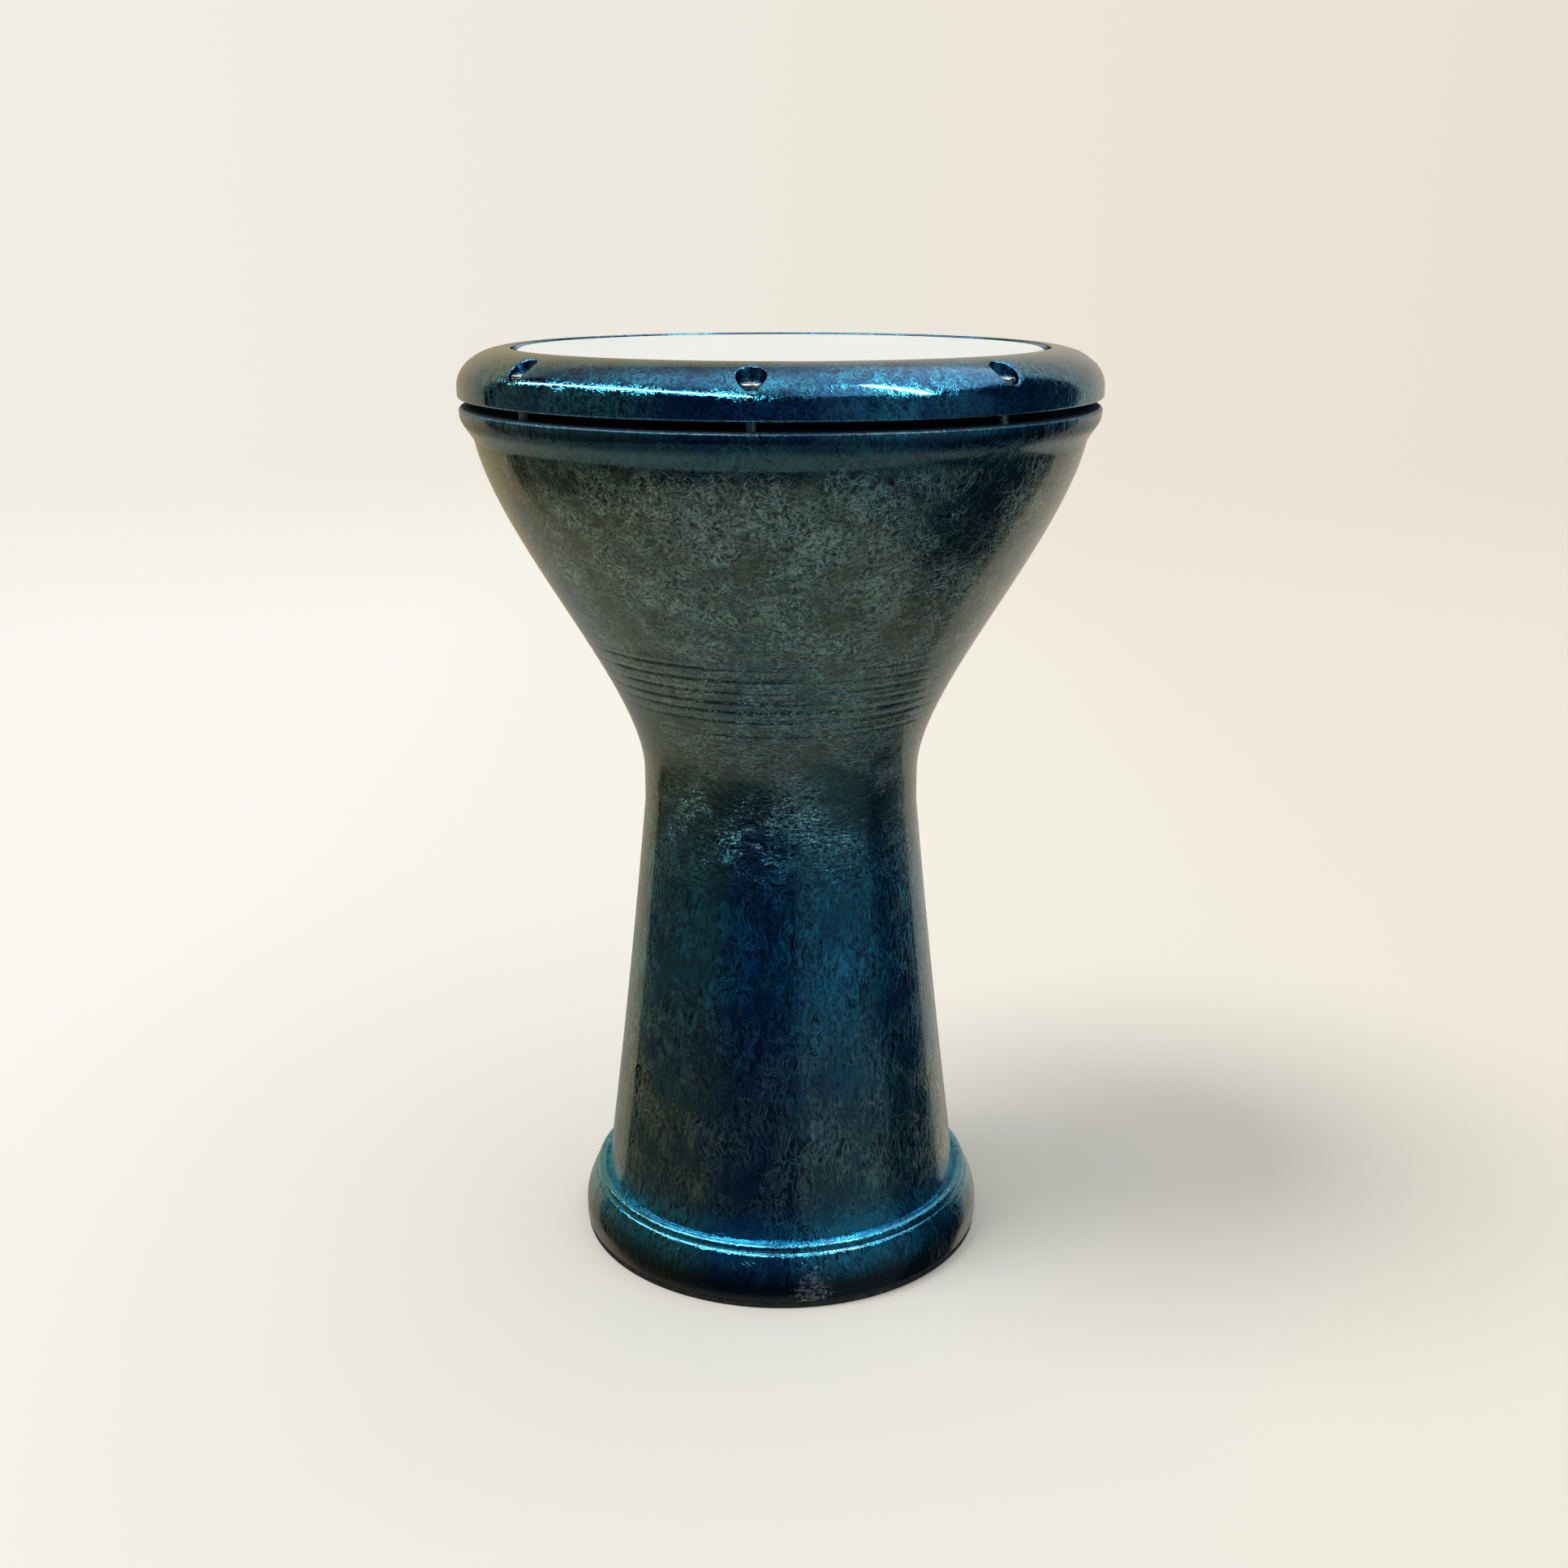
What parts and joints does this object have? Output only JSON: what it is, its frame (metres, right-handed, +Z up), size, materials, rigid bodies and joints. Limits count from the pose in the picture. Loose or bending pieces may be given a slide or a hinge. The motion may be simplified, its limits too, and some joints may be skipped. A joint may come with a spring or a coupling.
{
  "type": "goblet drum",
  "caption": "Cast goblet drum: a narrow-waisted shell with a flared foot, a film head on a channel hoop, and a clamp ring that tuning bolts pull down.",
  "frame": {"origin": "on the floor, at the middle of the foot", "axes": "+Z up along the drum's axis, from the foot to the head; -Y is the side that faces the viewer"},
  "size_m": [0.2924, 0.2924, 0.4356],
  "materials": {
    "shell_lacquer": "gloss",
    "ring_lacquer": "gloss",
    "clear_film": "satin",
    "bare_aluminium": "satin",
    "pale_resin": "satin",
    "nickel_steel": "polished",
    "zinc_steel": "satin",
    "brass": "satin",
    "black_rubber": "matte"
  },
  "bodies": {
    "shell": {"shell": "shell_lacquer", "foot_pad": "black_rubber", "head_film": "clear_film", "thread_insert_1": "brass", "thread_insert_2": "brass", "thread_insert_3": "brass", "thread_insert_4": "brass", "thread_insert_5": "brass", "thread_insert_6": "brass", "thread_insert_7": "brass", "thread_insert_8": "brass"},
    "ring": {"clamp_ring": "ring_lacquer", "head_hoop": "bare_aluminium", "hoop_resin": "pale_resin", "bolt_washer_1": "zinc_steel", "bolt_washer_2": "zinc_steel", "bolt_washer_3": "zinc_steel", "bolt_washer_4": "zinc_steel", "bolt_washer_5": "zinc_steel", "bolt_washer_6": "zinc_steel", "bolt_washer_7": "zinc_steel", "bolt_washer_8": "zinc_steel"},
    "tuning_bolt_1": {"tuning_bolt_1": "nickel_steel"},
    "tuning_bolt_2": {"tuning_bolt_2": "nickel_steel"},
    "tuning_bolt_3": {"tuning_bolt_3": "nickel_steel"},
    "tuning_bolt_4": {"tuning_bolt_4": "nickel_steel"},
    "tuning_bolt_5": {"tuning_bolt_5": "nickel_steel"},
    "tuning_bolt_6": {"tuning_bolt_6": "nickel_steel"},
    "tuning_bolt_7": {"tuning_bolt_7": "nickel_steel"},
    "tuning_bolt_8": {"tuning_bolt_8": "nickel_steel"}
  },
  "joints": [
    {"name": "ring_slide", "type": "slide", "parent": "shell", "child": "ring", "axis": [0, 0, -1], "range_m": [-0.0015, 0.001], "deforming": ["head_film"]},
    {"name": "bolt_1_turn", "type": "hinge", "parent": "ring", "child": "tuning_bolt_1", "pos_m": [-0.01107, -0.13756, 0.4254], "axis": [0, 0, -1], "range_deg": [-540, 360]},
    {"name": "bolt_2_turn", "type": "hinge", "parent": "ring", "child": "tuning_bolt_2", "pos_m": [0.08944, -0.10509, 0.4254], "axis": [0, 0, -1], "range_deg": [-540, 360]},
    {"name": "bolt_3_turn", "type": "hinge", "parent": "ring", "child": "tuning_bolt_3", "pos_m": [0.13756, -0.01107, 0.4254], "axis": [0, 0, -1], "range_deg": [-540, 360]},
    {"name": "bolt_4_turn", "type": "hinge", "parent": "ring", "child": "tuning_bolt_4", "pos_m": [0.10509, 0.08944, 0.4254], "axis": [0, 0, -1], "range_deg": [-540, 360]},
    {"name": "bolt_5_turn", "type": "hinge", "parent": "ring", "child": "tuning_bolt_5", "pos_m": [0.01107, 0.13756, 0.4254], "axis": [0, 0, -1], "range_deg": [-540, 360]},
    {"name": "bolt_6_turn", "type": "hinge", "parent": "ring", "child": "tuning_bolt_6", "pos_m": [-0.08944, 0.10509, 0.4254], "axis": [0, 0, -1], "range_deg": [-540, 360]},
    {"name": "bolt_7_turn", "type": "hinge", "parent": "ring", "child": "tuning_bolt_7", "pos_m": [-0.13756, 0.01107, 0.4254], "axis": [0, 0, -1], "range_deg": [-540, 360]},
    {"name": "bolt_8_turn", "type": "hinge", "parent": "ring", "child": "tuning_bolt_8", "pos_m": [-0.10509, -0.08944, 0.4254], "axis": [0, 0, -1], "range_deg": [-540, 360]}
  ],
  "couplings": [
    {"joint": "bolt_1_turn", "follows": "ring_slide", "rad_per_m": 6283.2},
    {"joint": "bolt_2_turn", "follows": "ring_slide", "rad_per_m": 6283.2},
    {"joint": "bolt_3_turn", "follows": "ring_slide", "rad_per_m": 6283.2},
    {"joint": "bolt_4_turn", "follows": "ring_slide", "rad_per_m": 6283.2},
    {"joint": "bolt_5_turn", "follows": "ring_slide", "rad_per_m": 6283.2},
    {"joint": "bolt_6_turn", "follows": "ring_slide", "rad_per_m": 6283.2},
    {"joint": "bolt_7_turn", "follows": "ring_slide", "rad_per_m": 6283.2},
    {"joint": "bolt_8_turn", "follows": "ring_slide", "rad_per_m": 6283.2}
  ]
}
